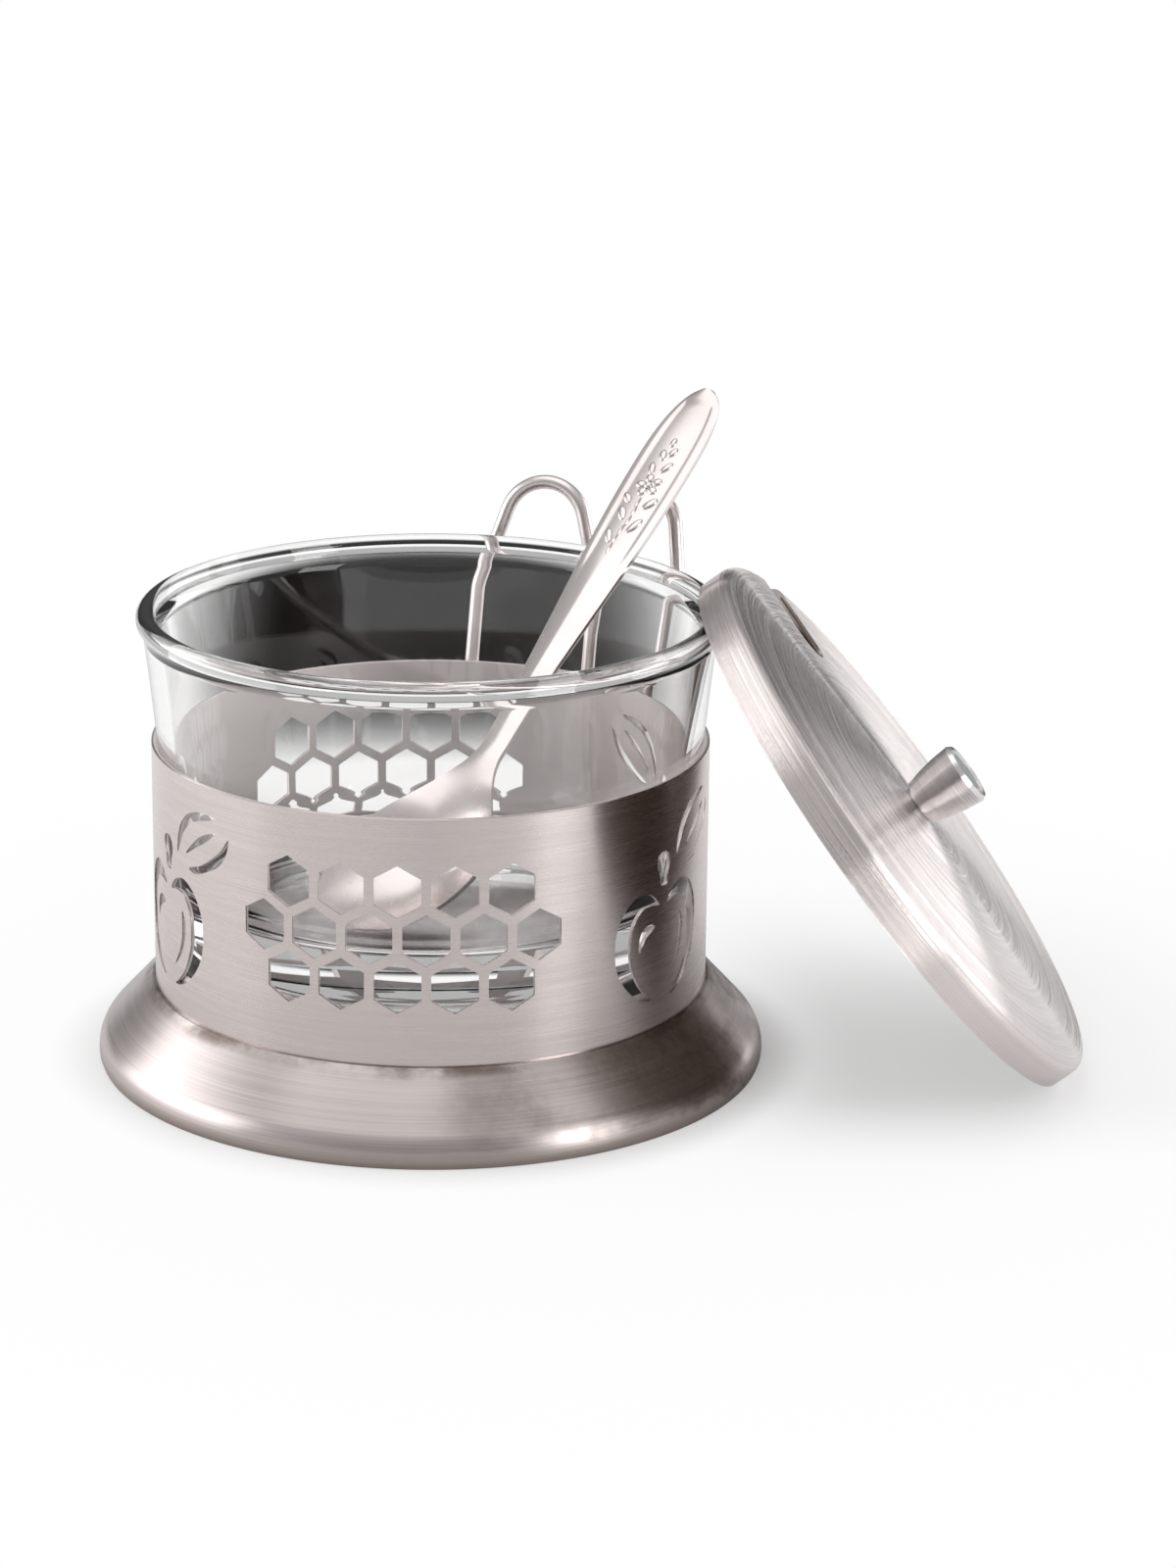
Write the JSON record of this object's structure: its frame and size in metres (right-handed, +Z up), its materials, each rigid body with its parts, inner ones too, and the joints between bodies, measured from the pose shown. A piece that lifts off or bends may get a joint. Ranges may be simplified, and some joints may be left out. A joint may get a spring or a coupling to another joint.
{
  "type": "honey dish",
  "caption": "Round glass honey bowl in a pierced steel stand with a flared foot and a wire spoon rest, a teaspoon in the bowl, and a knobbed, slotted steel lid leaning on the rim.",
  "frame": {"origin": "centre of the foot's lower rim, on the table", "axes": "+Z up along the bowl's axis, -Y towards the front, +X towards the leaning lid"},
  "size_m": [0.1569, 0.1066, 0.0979],
  "materials": {
    "foot_steel": "satin, darker in the hollows",
    "plate_steel": "satin",
    "sleeve_steel": "brushed round the band",
    "wire_steel": "polished",
    "clear_glass": "clear and glossy",
    "spoon_steel": "polished",
    "lid_steel": "spun, brushed in circles",
    "knob_steel": "turned, satin",
    "crystal": "cut, with a silver foil behind",
    "fixing_steel": "plain"
  },
  "bodies": {
    "stand": {"foot": "foot_steel", "floor_plate": "plate_steel", "sleeve": "sleeve_steel", "spoon_rest": "wire_steel"},
    "bowl": {"glass_bowl": "clear_glass"},
    "spoon": {"spoon": "spoon_steel"},
    "lid": {"lid": "lid_steel", "lid_knob": "knob_steel", "knob_crystal": "crystal", "knob_washer": "fixing_steel", "knob_screw": "fixing_steel"}
  },
  "joints": [
    {"name": "bowl_lift", "type": "slide", "parent": "stand", "child": "bowl", "axis": [0, 0, 1], "range_m": [0, 0.07]},
    {"name": "spoon_lift", "type": "slide", "parent": "bowl", "child": "spoon", "axis": [0, 0, 1], "range_m": [0, 0.06]},
    {"name": "lid_lift", "type": "slide", "parent": "bowl", "child": "lid", "axis": [0, 0, 1], "range_m": [0, 0.06]}
  ]
}
